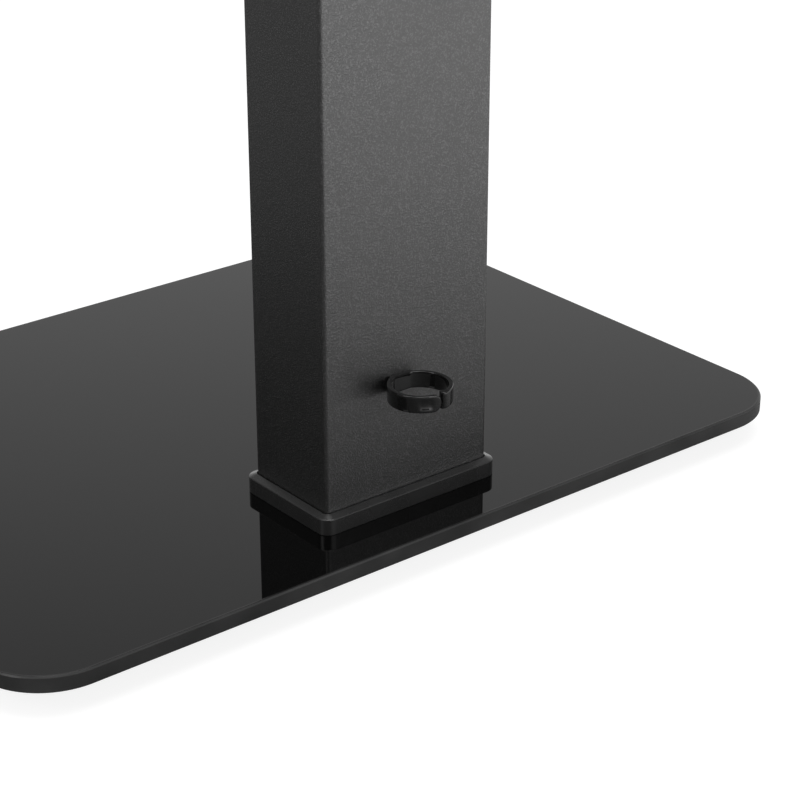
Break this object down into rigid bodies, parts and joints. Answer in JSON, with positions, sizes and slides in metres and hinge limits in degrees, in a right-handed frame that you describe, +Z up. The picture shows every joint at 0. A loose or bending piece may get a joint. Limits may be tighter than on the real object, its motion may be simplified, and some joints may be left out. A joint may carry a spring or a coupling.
{
  "type": "television floor stand",
  "caption": "Floor stand for a flat screen: glass base, rectangular column with cable clips, sliding mast, swivel and tilt head, rail and hooked arms.",
  "frame": {"origin": "on the floor, under the middle of the base", "axes": "+Z up, -Y towards the viewer, where the screen hangs, +Y the back with the cable clips, +X to the right as seen from the front"},
  "size_m": [0.45, 0.3274, 1.1776],
  "materials": {
    "black_glass": "gloss black tempered glass, opaque, ground edges",
    "textured_coat": "black powder coat with a fine grain",
    "smooth_coat": "satin black powder coat",
    "black_plastic": "satin black moulded plastic",
    "gloss_clip": "gloss black moulded plastic",
    "black_rubber": "black rubber",
    "zinc_steel": "zinc plated steel",
    "nylon": "natural nylon"
  },
  "bodies": {
    "stand": {"base_glass": "black_glass", "glass_foot_front_left": "black_rubber", "glass_foot_front_right": "black_rubber", "glass_foot_back_left": "black_rubber", "glass_foot_back_right": "black_rubber", "glass_pad": "black_rubber", "backing_plate": "smooth_coat", "glass_bushes": "nylon", "base_washers": "zinc_steel", "base_bolts": "zinc_steel", "foot_collar": "black_plastic", "column_foot_plate": "smooth_coat", "column_tube": "textured_coat", "column_guide_bush": "black_plastic", "brake_pad": "nylon", "clamp_boss": "textured_coat", "cable_clip_lower": "gloss_clip", "cable_clip_middle": "gloss_clip", "cable_clip_upper": "gloss_clip"},
    "height_knob": {"clamp_knob": "black_plastic", "clamp_stud": "zinc_steel"},
    "mast": {"mast_tube": "textured_coat", "mast_shoe": "black_plastic", "mast_seat_plate": "smooth_coat", "swivel_stop_pin": "zinc_steel", "swivel_bolt": "zinc_steel", "swivel_nut": "zinc_steel", "swivel_washers": "nylon"},
    "swivel_head": {"swivel_bracket": "textured_coat"},
    "tilt_head": {"tilt_bracket": "smooth_coat", "tilt_pivot_bolts": "zinc_steel", "tilt_pivot_nuts": "zinc_steel", "tilt_washers": "nylon", "tilt_studs": "zinc_steel", "tilt_stud_washers": "zinc_steel", "cross_rail": "smooth_coat", "rail_cap_left": "black_plastic", "rail_cap_right": "black_plastic", "rail_bolts": "zinc_steel", "rail_nuts": "zinc_steel"},
    "left_tilt_knob": {"tilt_knob_left": "black_plastic"},
    "right_tilt_knob": {"tilt_knob_right": "black_plastic"},
    "left_arm": {"arm_left": "smooth_coat", "arm_lock_screw_left": "zinc_steel"},
    "right_arm": {"arm_right": "smooth_coat", "arm_lock_screw_right": "zinc_steel"}
  },
  "joints": [
    {"name": "height_slide", "type": "slide", "parent": "stand", "child": "mast", "axis": [0, 0, 1], "range_m": [-0.1, 0.15]},
    {"name": "height_knob_turn", "type": "hinge", "parent": "stand", "child": "height_knob", "pos_m": [0, 0.13225, 0.822], "axis": [0, 1, 0], "range_deg": [0, 180]},
    {"name": "head_swivel", "type": "hinge", "parent": "mast", "child": "swivel_head", "pos_m": [0, 0.10525, 1.0176], "axis": [0, 0, 1], "range_deg": [-35, 35]},
    {"name": "head_tilt", "type": "hinge", "parent": "swivel_head", "child": "tilt_head", "pos_m": [0, 0.02125, 0.9576], "axis": [1, 0, 0], "range_deg": [-5, 10]},
    {"name": "left_tilt_knob_turn", "type": "hinge", "parent": "tilt_head", "child": "left_tilt_knob", "pos_m": [-0.06, 0.02125, 0.9876], "axis": [-1, 0, 0], "range_deg": [0, 180]},
    {"name": "right_tilt_knob_turn", "type": "hinge", "parent": "tilt_head", "child": "right_tilt_knob", "pos_m": [0.06, 0.02125, 0.9876], "axis": [1, 0, 0], "range_deg": [0, 180]},
    {"name": "left_arm_slide", "type": "slide", "parent": "tilt_head", "child": "left_arm", "axis": [1, 0, 0], "range_m": [-0.1, 0.05]},
    {"name": "right_arm_slide", "type": "slide", "parent": "tilt_head", "child": "right_arm", "axis": [1, 0, 0], "range_m": [-0.05, 0.1]}
  ]
}
